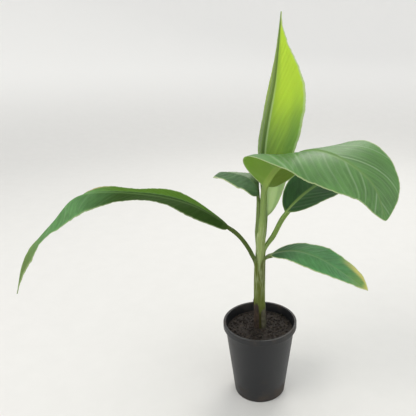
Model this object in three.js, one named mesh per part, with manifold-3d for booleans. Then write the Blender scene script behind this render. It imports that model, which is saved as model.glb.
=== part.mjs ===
// A young potted banana plant with six leaves. Millimetres and degrees.
// The origin is the middle of the pot's flat underside, +Z is up and the photograph looks along +Y.
import * as THREE from 'three';
import { mergeVertices } from 'three/addons/utils/BufferGeometryUtils.js';
import Module from 'manifold-3d';

const wasm = await Module();
wasm.setup();

const CLEARANCE = 0.3; // between neighbouring solids
const JOINT_GAP = 0.6; // between two pieces of one leaf, along its midrib

const POT = {
  height: 85, baseRadius: 28, topRadius: 38.4, wall: 1, floor: 1.2,
  rimRadius: 40, rimDepth: 6, edge: 0.5, sides: 64,
  holeRadius: 4, holeRing: 19, holes: 4,
};
const SOIL = { top: 77, dish: 1.6, bump: 0.5, flatRadius: 9, sides: 48, rings: 7 };
const STEM = {
  height: 116, footRadius: 6.6, midRadius: 5.8, topRadius: 4.9, bow: 1.2, lean: 1.2,
  sheaths: 3, sheathStep: 0.45, sheathTwist: 70, sides: 36, sections: 24,
};

// One half of a blade: half-width, fold up (+) or down (-) from the rib and extra bend towards
// the margin, both along the blade, where it is widest, and how full its base and tip are.
function half(width, fold, bend, widest, base, tip) {
  return { width, fold, bend, widest, base, tip };
}

// midrib: [x, y, height above the soil]; stalk: its length before the blade; rib: half-width of the
// stalk at its foot and along it; face: where the upper side looks at the foot; roll turns the blade
// about its midrib from foot to tip; sweep slants the veins forward; splits are the ends of the
// pieces as shares of the length, and sections how many steps each piece has.
const LEAVES = [
  {
    name: 'left_leaf', pieces: ['stalk', 'inner_blade', 'outer_blade'],
    splits: [0.19, 0.66], sections: [9, 16, 14],
    midrib: [[-3, -1, 72], [-11, -5, 96], [-28, -13, 120], [-68, -26, 150], [-116, -40, 165],
      [-162, -50, 166], [-188, -54, 142], [-216, -57, 109], [-228, -59, 73]],
    stalk: 62, rib: [2.8, 1.5], face: [0.6, 0.2, 0.8], roll: [0], sweep: [15], thickness: 1.5,
    left: half(17.5, [-35, -32, -2, -14, -28, -45, -25, -50, -50], [0], 0.42, 0.3, 1.15),
    right: half(20, [5, 5, 13, -1, -11, -20, -20, 5, 10], [0], 0.4, 0.45, 2),
    waves: 3, waveHeight: 3, colour: 0x5f8f3c,
  },
  {
    name: 'low_leaf', pieces: [''], splits: [], sections: [24],
    midrib: [[4, -1, 80], [12, -5, 89], [34, -15, 97], [58, -28, 95], [82, -34, 81], [105, -40, 66]],
    stalk: 13, rib: [2.4, 1.7], face: [-0.5, 0.2, 1], roll: [0, 0, 0, -10, -20], sweep: [10],
    thickness: 1.4,
    left: half(21.5, [8, 5, 35], [0], 0.66, 0.56, 0.85),
    right: half(18, [-12, -10, -5], [0], 0.42, 0.6, 0.8),
    waves: 2, waveHeight: 0.6, colour: 0x5a8a5a,
  },
  {
    name: 'back_right_leaf', pieces: ['stalk', 'blade'], splits: [0.31], sections: [9, 22],
    midrib: [[4, 4, 88], [14, 7, 108], [25, 13, 126], [46, 23, 145], [76, 38, 161], [104, 54, 170]],
    stalk: 48, rib: [2.9, 2.1], face: [-0.8, 0, 0.6], roll: [-5, 0, 20, 30, 40], sweep: [15],
    thickness: 1.5,
    left: half(31, [20, 15, 10], [0], 0.4, 0.45, 1),
    right: half(31, [-14, -2, -18], [0], 0.38, 0.42, 1),
    waves: 2, waveHeight: 1.0, colour: 0x2f5e3a,
  },
  {
    name: 'right_leaf', pieces: ['stalk', 'inner_blade', 'outer_blade'],
    splits: [0.222, 0.62], sections: [9, 18, 16],
    midrib: [[2, 2, 110], [3, 2, 135], [5, 2, 160], [18, -5, 183], [43, -20, 201],
      [71, -38, 198], [98, -53, 178], [109, -66, 148]],
    stalk: 50, rib: [3.6, 2.3], face: [-0.3, 1, 0], roll: [0, 0, 18, 55, 70, 66, 62, 62],
    sweep: [-10, 16, 10, 5, 8, 0], thickness: 1.6,
    left: half(42, [0, -25, -30, -6, 0, -5], [0], 0.6, 0.5, 0.7),
    right: half(51, [60, 44, 29, 3, 0, 0], [-45, -80, -40, 0, 0, 0], 0.2, 1.3, 0.76),
    waves: 3, waveHeight: 1.0, colour: 0x5c9448,
  },
  {
    name: 'upright_leaf', pieces: [''], splits: [], sections: [36],
    midrib: [[3, 8, 106], [5, 11, 130], [3.5, 13, 160], [2.5, 14, 192], [7, 15, 226],
      [13.5, 15, 262], [17, 15, 296], [19, 16, 325]],
    stalk: 20, rib: [2.8, 2.2], face: [0.6, 0.8, 0], roll: [0], sweep: [15], thickness: 2.2,
    left: half(34, [42], [0], 0.52, 0.7, 2.15),
    right: half(36, [49], [0], 0.47, 0.7, 1.9),
    waves: 3, waveHeight: 0.8, colour: 0x9cc24a,
  },
  {
    name: 'back_left_leaf', pieces: ['stalk', 'blade'], splits: [0.33], sections: [9, 20],
    midrib: [[-1.7, 4, 92], [-2.2, 5.9, 108], [-1, 7, 126], [-1.2, 8.3, 151], [-9.6, 13.1, 164],
      [-26, 21, 168], [-42, 31, 167], [-47, 44, 157]],
    stalk: 56, rib: [2.2, 1.5], face: [0.95, -0.1, 0.1], roll: [0], sweep: [10],
    thickness: 1.4,
    left: half(14.5, [-50, -60, -45, -30], [0], 0.32, 0.28, 0.9),
    right: half(16, [-10, 18, 8, 4], [0], 0.36, 0.6, 0.95),
    waves: 2, waveHeight: 0.8, colour: 0x7f9f72,
  },
];
const WING = 0.8; // the stalk's thin raised edges
const WING_FOLD = 60;
const STRIPS = 4; // points on each half of a blade, the rib's edge included
const AXIS_STEPS = 240;

// Where a section's points lie across the leaf, from the left margin to the right one: on the upper
// side one in the middle, on the lower side three round the rib.
const OUTER_PLACES = Array.from({ length: STRIPS }, (_, i) => STRIPS - i);
const mirrored = (inner) => [...OUTER_PLACES.map((i) => -i), ...inner, ...[...OUTER_PLACES].reverse()];
const TOP_PLACES = mirrored([0]);
const UNDER_PLACES = mirrored([-0.5, 0, 0.5]);

const rad = THREE.MathUtils.degToRad;
const clamp = THREE.MathUtils.clamp;
const lerp = THREE.MathUtils.lerp;

// Smooth value through equally spaced stations, t from 0 to 1. Stations are numbers or [x, y, z].
function along(stations, t) {
  const n = stations.length - 1;
  if (n === 0) return stations[0];
  const x = clamp(t, 0, 1) * n;
  const i = Math.min(Math.floor(x), n - 1);
  const f = x - i;
  const one = (p0, p1, p2, p3) => 0.5 * (2 * p1 + (p2 - p0) * f
    + (2 * p0 - 5 * p1 + 4 * p2 - p3) * f * f + (3 * p1 - p0 - 3 * p2 + p3) * f * f * f);
  const p1 = stations[i];
  const p2 = stations[i + 1];
  const before = i > 0 ? stations[i - 1] : null;
  const after = i + 2 <= n ? stations[i + 2] : null;
  if (typeof p1 === 'number') return one(before ?? 2 * p1 - p2, p1, p2, after ?? 2 * p2 - p1);
  return p1.map((a, k) => one(before ? before[k] : 2 * a - p2[k], a, p2[k],
    after ? after[k] : 2 * p2[k] - a));
}

// Points evenly spaced along a leaf's midrib, with a frame that is carried along without twist
// and then turned by the leaf's roll. side points left of the way to the tip, up to its upper side.
function leafAxis(leaf) {
  const raw = [];
  for (let i = 0; i <= AXIS_STEPS; i += 1) {
    const [x, y, z] = along(leaf.midrib, i / AXIS_STEPS);
    raw.push(new THREE.Vector3(x, y, z + SOIL.top));
  }
  const run = [0];
  for (let i = 1; i <= AXIS_STEPS; i += 1) run.push(run[i - 1] + raw[i].distanceTo(raw[i - 1]));
  const length = run[AXIS_STEPS];
  const points = [];
  let k = 0;
  for (let i = 0; i <= AXIS_STEPS; i += 1) {
    const s = (length * i) / AXIS_STEPS;
    while (k < AXIS_STEPS - 1 && run[k + 1] < s) k += 1;
    points.push(raw[k].clone().lerp(raw[k + 1], (s - run[k]) / (run[k + 1] - run[k])));
  }
  const carried = new THREE.Vector3(...leaf.face);
  const frames = points.map((point, i) => {
    const ahead = points[Math.min(i + 1, AXIS_STEPS)];
    const behind = points[Math.max(i - 1, 0)];
    const forward = ahead.clone().sub(behind).normalize();
    carried.addScaledVector(forward, -carried.dot(forward)).normalize();
    const across = carried.clone().cross(forward);
    const turn = rad(along(leaf.roll, i / AXIS_STEPS));
    const side = across.clone().multiplyScalar(Math.cos(turn)).addScaledVector(carried, Math.sin(turn));
    const up = carried.clone().multiplyScalar(Math.cos(turn)).addScaledVector(across, -Math.sin(turn));
    return { point, forward, side, up };
  });
  return { length, frames };
}

function frameAt(axis, s) {
  const x = clamp(s / axis.length, 0, 1) * AXIS_STEPS;
  const i = Math.min(Math.floor(x), AXIS_STEPS - 1);
  const a = axis.frames[i];
  const b = axis.frames[i + 1];
  const mix = (key) => a[key].clone().lerp(b[key], x - i);
  return { point: mix('point'), forward: mix('forward'), side: mix('side'), up: mix('up') };
}

// Share of the half-width at v along the blade: rises from the base, then narrows to the tip.
function outline(v, side) {
  if (v <= 0 || v >= 1) return 0;
  if (v < side.widest) return (1 - (1 - v / side.widest) ** 2) ** side.base;
  const b = (v - side.widest) / (1 - side.widest);
  return (1 - b * b) ** side.tip;
}

// Closed outline of a leaf at the length s: the upper side from the left margin to the right one,
// then the lower side back, with the rounded rib under its middle.
function leafRing(leaf, axis, s) {
  const frame = frameAt(axis, s);
  const v = (s - leaf.stalk) / (axis.length - leaf.stalk);
  const inBlade = clamp(v, 0, 1);
  const opened = THREE.MathUtils.smoothstep(s - leaf.stalk, -12, 0);
  const foot = 1 - THREE.MathUtils.smoothstep(s, 0, 22);
  const rib = lerp(leaf.rib[1], leaf.rib[0], foot) * (1 - inBlade) ** 0.8 + 0.35;
  const depth = leaf.thickness + rib * 1.1 * (1 - 0.3 * inBlade);
  const groove = rib * lerp(0.4, 0.15, opened);
  const upper = [];
  const lower = [];
  for (const [sign, side] of [[-1, leaf.right], [1, leaf.left]]) {
    const reach = WING * (1 - 0.6 * inBlade) + side.width * outline(v, side);
    const fold = lerp(WING_FOLD, along(side.fold, inBlade), opened);
    const bend = along(side.bend, inBlade);
    const slant = Math.tan(rad(along(leaf.sweep, inBlade)));
    const ripple = leaf.waveHeight * Math.sin(Math.PI * inBlade)
      * Math.sin(2 * Math.PI * leaf.waves * inBlade + sign);
    const step = reach / (STRIPS - 1);
    const thickness = leaf.thickness * (1 - 0.5 * THREE.MathUtils.smoothstep(inBlade, 0.9, 1));
    let x = rib;
    let z = 0;
    const top = [];
    const under = [];
    const put = (a, b) => frame.point.clone().addScaledVector(frame.side, sign * a)
      .addScaledVector(frame.up, b).addScaledVector(frame.forward, slant * Math.max(a - rib, 0));
    for (let j = 0; j < STRIPS; j += 1) {
      const q = j / (STRIPS - 1);
      const tilt = j === 0 ? 0 : rad(fold + bend * q);
      const lifted = z + ripple * q * q;
      top.push(put(x, lifted));
      under.push(put(x + Math.sin(tilt) * thickness, lifted - Math.cos(tilt) * thickness));
      const next = rad(fold + bend * (q + 0.5 / (STRIPS - 1)));
      x += Math.cos(next) * step;
      z += Math.sin(next) * step;
    }
    if (sign < 0) {
      upper.push(top);
      lower.push(under);
    } else {
      upper.unshift(top.reverse());
      lower.unshift(under.reverse());
    }
  }
  const at = (a, b) => frame.point.clone().addScaledVector(frame.side, a).addScaledVector(frame.up, b);
  const shoulder = [rib * 0.72, -lerp(leaf.thickness, depth, 0.62)];
  const underRib = [at(shoulder[0], shoulder[1]), at(0, -depth), at(-shoulder[0], shoulder[1])];
  return {
    topSide: [...upper[0], at(0, -groove), ...upper[1]],
    underSide: [...lower[0], ...underRib, ...lower[1]],
  };
}

// Geometry with its faces turned outwards.
function geometryOf(vertices, triangles) {
  const geometry = new THREE.BufferGeometry();
  const numbers = vertices.flatMap((p) => p.toArray());
  geometry.setAttribute('position', new THREE.Float32BufferAttribute(numbers, 3));
  let volume = 0;
  for (let i = 0; i < triangles.length; i += 3) {
    const [a, b, c] = triangles.slice(i, i + 3).map((k) => vertices[k]);
    volume += a.dot(b.clone().cross(c)) / 6;
  }
  const turned = triangles.map((_, i) => triangles[i - (i % 3) + ((3 - (i % 3)) % 3)]);
  geometry.setIndex(volume < 0 ? turned : triangles);
  return geometry;
}

// Solid through leaf rings, with both ends closed by strips between the upper and the lower side.
function loftLeaf(rings) {
  const tops = rings[0].topSide.length;
  const unders = rings[0].underSide.length;
  const count = tops + unders;
  const vertices = rings.flatMap((ring) => [...ring.topSide, ...[...ring.underSide].reverse()]);
  const triangles = [];
  for (let r = 0; r < rings.length - 1; r += 1) {
    for (let i = 0; i < count; i += 1) {
      const a = r * count + i;
      const b = r * count + ((i + 1) % count);
      triangles.push(a, b, b + count, a, b + count, a + count);
    }
  }
  for (const [start, reversed] of [[0, false], [(rings.length - 1) * count, true]]) {
    const top = (i) => start + i;
    const under = (i) => start + count - 1 - i;
    let i = 0;
    let j = 0;
    while (i < tops - 1 || j < unders - 1) {
      const onTop = j === unders - 1 || (i < tops - 1 && TOP_PLACES[i + 1] <= UNDER_PLACES[j + 1]);
      const face = [top(i), under(j), onTop ? top(i + 1) : under(j + 1)];
      triangles.push(...(reversed ? face.reverse() : face));
      i += onTop ? 1 : 0;
      j += onTop ? 0 : 1;
    }
  }
  return geometryOf(vertices, triangles);
}

function leafPieces(leaf) {
  const axis = leafAxis(leaf);
  const ends = [0, ...leaf.splits.map((share) => share * axis.length), axis.length];
  return leaf.pieces.map((piece, i) => {
    const from = ends[i] + (i > 0 ? JOINT_GAP / 2 : 0);
    const to = ends[i + 1] - (i < leaf.pieces.length - 1 ? JOINT_GAP / 2 : 0);
    const rings = [];
    for (let k = 0; k <= leaf.sections[i]; k += 1) {
      const left = 1 - k / leaf.sections[i];
      const crowd = i === leaf.pieces.length - 1 ? 1.5 : 1; // closer sections towards the tip
      rings.push(leafRing(leaf, axis, lerp(to, from, left ** crowd)));
    }
    return { name: piece ? `${leaf.name}_${piece}` : leaf.name, geometry: loftLeaf(rings) };
  });
}

// Middle and radius of the stem at a height above the soil.
function stemAt(height) {
  const t = clamp(height / STEM.height, 0, 1);
  const foot = 1 - THREE.MathUtils.smoothstep(height, 0, 12);
  const upper = THREE.MathUtils.smoothstep(t, 0.45, 1);
  return {
    x: STEM.lean * t - STEM.bow * Math.sin(Math.PI * t),
    radius: lerp(STEM.midRadius, STEM.topRadius, upper) + (STEM.footRadius - STEM.midRadius) * foot,
  };
}

// The stem is made of wrapped leaf sheaths: each lies over the next with a low edge that runs up
// and slowly round the stem.
function stemSolid(grow) {
  const vertices = [];
  const bottom = SOIL.top + CLEARANCE - grow;
  const top = SOIL.top + STEM.height + grow;
  for (let k = 0; k <= STEM.sections; k += 1) {
    const height = lerp(0, STEM.height, k / STEM.sections);
    const z = lerp(bottom, top, k / STEM.sections);
    const { x, radius } = stemAt(height);
    for (let i = 0; i < STEM.sides; i += 1) {
      const angle = (2 * Math.PI * i) / STEM.sides;
      const turned = angle - rad(STEM.sheathTwist) * (height / STEM.height);
      const wrap = THREE.MathUtils.euclideanModulo((turned * STEM.sheaths) / (2 * Math.PI), 1);
      const edge = STEM.sheathStep * wrap * THREE.MathUtils.smoothstep(1 - wrap, 0, 0.2);
      const r = radius + edge + grow;
      vertices.push(new THREE.Vector3(x + r * Math.cos(angle), r * Math.sin(angle), z));
    }
  }
  return tubeGeometry(vertices, STEM.sides);
}

// Closed solid from rings of equal length, with a fan over the first and the last ring.
function tubeGeometry(vertices, sides) {
  const rings = vertices.length / sides;
  const triangles = [];
  for (let r = 0; r < rings - 1; r += 1) {
    for (let i = 0; i < sides; i += 1) {
      const a = r * sides + i;
      const b = r * sides + ((i + 1) % sides);
      triangles.push(a, b, b + sides, a, b + sides, a + sides);
    }
  }
  const middle = (start) => {
    const sum = new THREE.Vector3();
    for (let i = 0; i < sides; i += 1) sum.add(vertices[start + i]);
    return sum.divideScalar(sides);
  };
  const last = (rings - 1) * sides;
  for (let i = 0; i < sides; i += 1) {
    const j = (i + 1) % sides;
    triangles.push(vertices.length, j, i, vertices.length + 1, last + i, last + j);
  }
  return geometryOf([...vertices, middle(0), middle(last)], triangles);
}

const potOuter = (z) => lerp(POT.baseRadius, POT.topRadius, z / POT.height);

function potSolid() {
  const { height, wall, floor, rimRadius, rimDepth, edge } = POT;
  const under = height - rimDepth;
  const profile = [
    [0, 0], [POT.baseRadius - edge, 0], [potOuter(edge), edge], [potOuter(under), under],
    [rimRadius - edge, under], [rimRadius, under + edge], [rimRadius, height - edge],
    [rimRadius - edge, height], [potOuter(height) - wall + edge, height],
    [potOuter(height - edge) - wall, height - edge], [potOuter(floor) - wall, floor], [0, floor],
  ].map(([r, z]) => new THREE.Vector2(r, z));
  let body = toManifold(uprightLathe(profile, POT.sides));
  for (let i = 0; i < POT.holes; i += 1) {
    const angle = (2 * Math.PI * (i + 0.5)) / POT.holes;
    const cutter = new THREE.CylinderGeometry(POT.holeRadius, POT.holeRadius, 4 * floor, 24);
    cutter.rotateX(Math.PI / 2);
    cutter.translate(POT.holeRing * Math.cos(angle), POT.holeRing * Math.sin(angle), 0.5 * floor);
    body = body.subtract(toManifold(cutter));
  }
  return fromManifold(body);
}

// LatheGeometry turns about Y; this stands it up along Z.
function uprightLathe(profile, sides) {
  const geometry = new THREE.LatheGeometry(profile, sides);
  geometry.rotateX(Math.PI / 2);
  return geometry;
}

// The soil fills the pot: flat where the stem stands, then dished and slightly uneven.
function soilSolid() {
  const bottom = POT.floor + CLEARANCE;
  const inside = (z) => potOuter(z) - POT.wall - CLEARANCE;
  const edgeTop = SOIL.top - SOIL.dish;
  const vertices = [];
  const ring = (radius, z) => {
    for (let i = 0; i < SOIL.sides; i += 1) {
      const angle = (2 * Math.PI * i) / SOIL.sides;
      vertices.push(new THREE.Vector3(radius * Math.cos(angle), radius * Math.sin(angle), z(angle)));
    }
  };
  ring(inside(bottom) * 0.6, () => bottom);
  ring(inside(bottom), () => bottom);
  for (let k = 0; k <= SOIL.rings; k += 1) {
    const radius = lerp(inside(edgeTop), SOIL.flatRadius, k / SOIL.rings);
    const out = (radius - SOIL.flatRadius) / (inside(edgeTop) - SOIL.flatRadius);
    ring(radius, (angle) => SOIL.top - SOIL.dish * out * out
      + (k === 0 ? 0 : SOIL.bump * out * Math.sin(5 * angle + 2 * k) * Math.cos(3 * angle - 4 * k)));
  }
  return tubeGeometry(vertices, SOIL.sides);
}

function toManifold(geometry) {
  const clean = geometry.clone();
  clean.deleteAttribute('normal');
  clean.deleteAttribute('uv');
  const merged = mergeVertices(clean, 1e-4);
  return new wasm.Manifold(new wasm.Mesh({
    numProp: 3,
    vertProperties: new Float32Array(merged.attributes.position.array),
    triVerts: new Uint32Array(merged.index.array),
  }));
}

function fromManifold(solid) {
  const mesh = solid.getMesh();
  const geometry = new THREE.BufferGeometry();
  geometry.setAttribute('position', new THREE.BufferAttribute(new Float32Array(mesh.vertProperties), 3));
  geometry.setIndex(new THREE.BufferAttribute(new Uint32Array(mesh.triVerts), 1));
  return geometry;
}

// What is left of a solid outside another one: its largest body.
function outside(geometry, cutter) {
  const bodies = toManifold(geometry).subtract(toManifold(cutter)).decompose();
  bodies.sort((a, b) => b.volume() - a.volume());
  return fromManifold(bodies[0]);
}

function part(name, geometry, colour, roughness) {
  const mesh = new THREE.Mesh(geometry, new THREE.MeshStandardMaterial({
    color: colour, roughness, metalness: 0, name,
  }));
  mesh.name = name;
  return mesh;
}

function build() {
  const plant = new THREE.Group();
  plant.name = 'banana_plant';
  plant.add(part('pot', potSolid(), 0x17181b, 0.5));
  plant.add(part('soil', soilSolid(), 0x2c231c, 0.95));
  plant.add(part('pseudostem', stemSolid(0), 0xa3b06a, 0.55));
  const stemSpace = stemSolid(CLEARANCE);
  for (const leaf of LEAVES) {
    leafPieces(leaf).forEach(({ name, geometry }, i) => {
      plant.add(part(name, i === 0 ? outside(geometry, stemSpace) : geometry, leaf.colour, 0.5));
    });
  }
  return plant;
}

export default build();
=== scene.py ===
"""Finished surfaces of a young banana plant in a round nursery pot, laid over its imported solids.

All sizes are in metres, in the frame of the solids: the origin is the middle of the pot's flat
underside, +Z is up and the photograph looks along +Y. MM turns millimetres into metres.
"""

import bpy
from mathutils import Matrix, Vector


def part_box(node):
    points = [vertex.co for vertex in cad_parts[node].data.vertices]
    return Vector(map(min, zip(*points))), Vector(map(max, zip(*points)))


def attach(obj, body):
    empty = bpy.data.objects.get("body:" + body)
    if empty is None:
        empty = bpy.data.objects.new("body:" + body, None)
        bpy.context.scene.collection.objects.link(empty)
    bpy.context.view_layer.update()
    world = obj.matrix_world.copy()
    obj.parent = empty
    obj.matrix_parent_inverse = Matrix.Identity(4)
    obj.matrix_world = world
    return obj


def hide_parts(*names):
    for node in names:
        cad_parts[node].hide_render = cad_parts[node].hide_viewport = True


bl_info = {
    "name": "Young Potted Banana Plant",
    "version": (1, 0, 0),
    "blender": (4, 5, 0),
    "location": "3D View > Sidebar > Plant",
    "description": "Builds a young banana plant in a round nursery pot, with its soil and its stage",
    "category": "Add Mesh",
}

from dataclasses import dataclass
from functools import reduce
from math import cos, pi, radians, sin

import bpy
import numpy as np
from bpy.props import EnumProperty, FloatProperty, FloatVectorProperty, IntProperty, PointerProperty
from mathutils import Vector

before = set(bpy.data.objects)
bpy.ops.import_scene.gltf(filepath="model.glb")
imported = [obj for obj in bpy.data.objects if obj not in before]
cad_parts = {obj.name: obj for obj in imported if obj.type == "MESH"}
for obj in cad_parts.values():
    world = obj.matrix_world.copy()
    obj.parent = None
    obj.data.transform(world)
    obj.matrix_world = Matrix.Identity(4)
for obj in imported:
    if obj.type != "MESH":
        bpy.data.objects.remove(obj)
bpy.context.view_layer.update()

MM = 0.001
POT_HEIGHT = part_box("pot")[1].z
RIM_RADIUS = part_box("pot")[1].x
SOIL_TOP = 77 * MM
SOIL_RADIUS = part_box("soil")[1].x
STEM_HEIGHT = 116 * MM
STEM_FOOT_RADIUS = 6.6 * MM
STEM_FOOT_HEIGHT = 12 * MM
STEM_MID_RADIUS = 5.8 * MM
STEM_TOP_RADIUS = 4.9 * MM
STEM_TAPER_START = 0.45  # the share of its height from which the stem gets slimmer
STEM_BOW = 1.2 * MM
STEM_LEAN = 1.2 * MM
STEM_TWIST = 70  # how far the edges on the core run round it from foot to top, in degrees
SHEATH_ROOM = 0.7 * MM  # how far the stem's core lies inside the stem, under the sheaths


def mm(*values):
    """Numbers or points written in millimetres, as an array in metres."""
    return np.array(values, float) * MM


# Shapes of the leaves


@dataclass(frozen=True)
class Half:
    """One half of a blade.

    Its width, its fold up or down from the rib and its extra bend towards the margin, both in
    degrees from base to tip, where it is widest, how full its base and its tip are, and how far
    its veins slant forward in degrees from base to tip.
    """

    width: float
    fold: tuple
    bend: tuple
    widest: float
    base: float
    tip: float
    veins: tuple = (15, 40)


@dataclass(frozen=True)
class Leaf:
    """One leaf.

    Its midrib is given by points (x, y, height above the soil), its stalk by the length before
    the blade, and its rib by the stalk's half-width at the foot and along it. face is where its
    upper side looks at the foot, roll turns the blade about its midrib from foot to tip, and
    sweep slants its veins forward. depth is the rib's own height under the blade. layer is how
    far its sheath lies above the stem's core, or 0 where it rises from inside the stem. Its
    veins are spaced along the rib. vein_show, rib_show and margin_show say how clear they are.
    stalk_tone makes its stalk lighter or darker, dull makes its surface rougher, and gloss is how
    strongly it reflects.
    """

    name: str
    nodes: tuple
    slot: str
    midrib: np.ndarray
    stalk: float
    rib: np.ndarray
    face: tuple
    roll: tuple
    sweep: tuple
    depth: float
    left: Half
    right: Half
    waves: float
    wave_height: float
    layer: float
    vein_spacing: float
    vein_show: float = 0.4
    rib_show: float = 0.5
    margin_show: float = 0.85
    stalk_tone: float = 1.0
    dull: float = 0.0
    gloss: float = 0.3


LEAVES = (
    Leaf(
        name="left_leaf", slot="leaf",
        nodes=("left_leaf_stalk", "left_leaf_inner_blade", "left_leaf_outer_blade"),
        midrib=mm(
            (-3, -1, 72), (-11, -5, 96), (-28, -13, 120), (-68, -26, 150), (-116, -40, 165),
            (-162, -50, 166), (-188, -54, 142), (-216, -57, 109), (-228, -59, 73),
        ),
        stalk=62 * MM, rib=mm(2.8, 1.5), face=(0.6, 0.2, 0.8), roll=(0,), sweep=(15,), depth=1.5 * MM,
        left=Half(17.5 * MM, (-35, -32, -2, -14, -28, -45, -25, -50, -50), (0,), 0.42, 0.3, 1.15),
        right=Half(20 * MM, (5, 5, 13, -1, -11, -20, -20, 5, 10), (0,), 0.4, 0.45, 2),
        waves=3, wave_height=3 * MM, layer=1.1 * MM, vein_spacing=6 * MM,
        rib_show=0.25, margin_show=0.4, stalk_tone=0.6, dull=0.15, gloss=0.02,
    ),
    Leaf(
        name="low_leaf", slot="blue_green_leaf", nodes=("low_leaf",),
        midrib=mm(
            (4, -1, 80), (12, -5, 89), (34, -15, 97), (58, -28, 95), (82, -34, 81), (105, -40, 66),
        ),
        stalk=13 * MM, rib=mm(2.4, 1.7), face=(-0.5, 0.2, 1), roll=(0, 0, 0, -10, -20), sweep=(10,),
        depth=1.4 * MM,
        left=Half(21.5 * MM, (8, 5, 35), (0,), 0.66, 0.56, 0.85),
        right=Half(18 * MM, (-12, -10, -5), (0,), 0.42, 0.6, 0.8),
        waves=2, wave_height=0.6 * MM, layer=0.9 * MM, vein_spacing=5 * MM,
        vein_show=0.2, rib_show=0.35, gloss=0.2,
    ),
    Leaf(
        name="back_right_leaf", slot="dark_leaf",
        nodes=("back_right_leaf_stalk", "back_right_leaf_blade"),
        midrib=mm(
            (4, 4, 88), (14, 7, 108), (25, 13, 126), (46, 23, 145), (76, 38, 161), (104, 54, 170),
        ),
        stalk=48 * MM, rib=mm(2.9, 2.1), face=(-0.8, 0, 0.6), roll=(-5, 0, 20, 30, 40), sweep=(15,),
        depth=1.5 * MM,
        left=Half(31 * MM, (20, 15, 10), (0,), 0.4, 0.45, 1),
        right=Half(31 * MM, (-14, -2, -18), (0,), 0.38, 0.42, 1),
        waves=2, wave_height=1 * MM, layer=0.7 * MM, vein_spacing=7 * MM,
        vein_show=0.15, rib_show=0.85, stalk_tone=1.75, dull=0.25, gloss=0.15,
    ),
    Leaf(
        name="right_leaf", slot="leaf",
        nodes=("right_leaf_stalk", "right_leaf_inner_blade", "right_leaf_outer_blade"),
        midrib=mm(
            (2, 2, 110), (3, 2, 135), (5, 2, 160), (18, -5, 183), (43, -20, 201), (71, -38, 198),
            (98, -53, 178), (109, -66, 148),
        ),
        stalk=50 * MM, rib=mm(3.6, 2.3), face=(-0.3, 1, 0), roll=(0, 0, 18, 55, 70, 66, 62, 62),
        sweep=(-10, 16, 10, 5, 8, 0), depth=1.6 * MM,
        left=Half(42 * MM, (0, -25, -30, -6, 0, -5), (0,), 0.6, 0.5, 0.7, (35, 52, 60, 60)),
        right=Half(
            51 * MM, (60, 44, 29, 3, 0, 0), (-45, -80, -40, 0, 0, 0), 0.2, 1.3, 0.76, (0, 20, 45, 60),
        ),
        waves=3, wave_height=1 * MM, layer=0.35 * MM, vein_spacing=8 * MM,
        vein_show=1.0, stalk_tone=1.5,
    ),
    Leaf(
        name="upright_leaf", slot="new_leaf", nodes=("upright_leaf",),
        midrib=mm(
            (3, 8, 106), (5, 11, 130), (3.5, 13, 160), (2.5, 14, 192), (7, 15, 226), (13.5, 15, 262),
            (17, 15, 296), (19, 16, 325),
        ),
        stalk=20 * MM, rib=mm(2.8, 2.2), face=(0.6, 0.8, 0), roll=(0,), sweep=(15,), depth=2.2 * MM,
        left=Half(34 * MM, (42,), (0,), 0.52, 0.7, 2.15, (75, 70)),
        right=Half(36 * MM, (49,), (0,), 0.47, 0.7, 1.9, (75, 70)),
        waves=3, wave_height=0.8 * MM, layer=0, vein_spacing=11 * MM,
        vein_show=0.35, rib_show=0.15, dull=0.1,
    ),
    Leaf(
        name="back_left_leaf", slot="grey_green_leaf",
        nodes=("back_left_leaf_stalk", "back_left_leaf_blade"),
        midrib=mm(
            (-1.7, 4, 92), (-2.2, 5.9, 108), (-1, 7, 126), (-1.2, 8.3, 151), (-9.6, 13.1, 164),
            (-26, 21, 168), (-42, 31, 167), (-47, 44, 157),
        ),
        stalk=56 * MM, rib=mm(2.2, 1.5), face=(0.95, -0.1, 0.1), roll=(0,), sweep=(10,),
        depth=1.4 * MM,
        left=Half(14.5 * MM, (-50, -60, -45, -30), (0,), 0.32, 0.28, 0.9),
        right=Half(16 * MM, (-10, 18, 8, 4), (0,), 0.36, 0.6, 0.95),
        waves=2, wave_height=0.8 * MM, layer=0.5 * MM, vein_spacing=6 * MM,
        vein_show=0.2,
    ),
)
AXIS_STEPS = 240
STALK_WING = 0.8 * MM  # the stalk's thin raised edges
STALK_WING_FOLD = 60
STALK_FOOT = 22 * MM  # the length over which a stalk gets slimmer from its foot
OPENING = 12 * MM  # the length over which a stalk's edges lie down into the blade
LEAST_RIB = 0.35 * MM  # half-width of a rib at the tip
SHEATH_SPREAD = (55, 100, 135, 155, 165)  # half of the arc a sheath covers, downwards, in degrees
SHEATH_SPREAD_LENGTH = 70 * MM
SHEATH_BLEND = 20 * MM  # the length over which a stalk rounds out of its sheath
TUCK = 18 * MM  # how far the upright leaf's stalk runs down inside the stem
VEIN_CURVE = 0.25  # how much a vein curves forward, as a share of the half-width
OLD_LAYER = 0.8 * MM  # sheaths that lie further out than this have the old sheaths' colour
RIB_SHARE = 0.7  # the part of a sheath's arc that goes over into the stalk's rounded back


# Sums that the shapes share


WAVE_PITCHES = np.array([1, 1.7, 2.9, 4.6, 7.3])
LATTICE = 256  # random heights a side, after which the lumps begin again


def smoothstep(x, low, high):
    """0 below low and 1 above high, with a smooth cubic rise between."""
    t = np.clip((x - low) / (high - low), 0, 1)
    return t * t * (3 - 2 * t)


def lerp(a, b, t):
    """The value at the share t of the way from a to b."""
    return a + (b - a) * t


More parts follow.
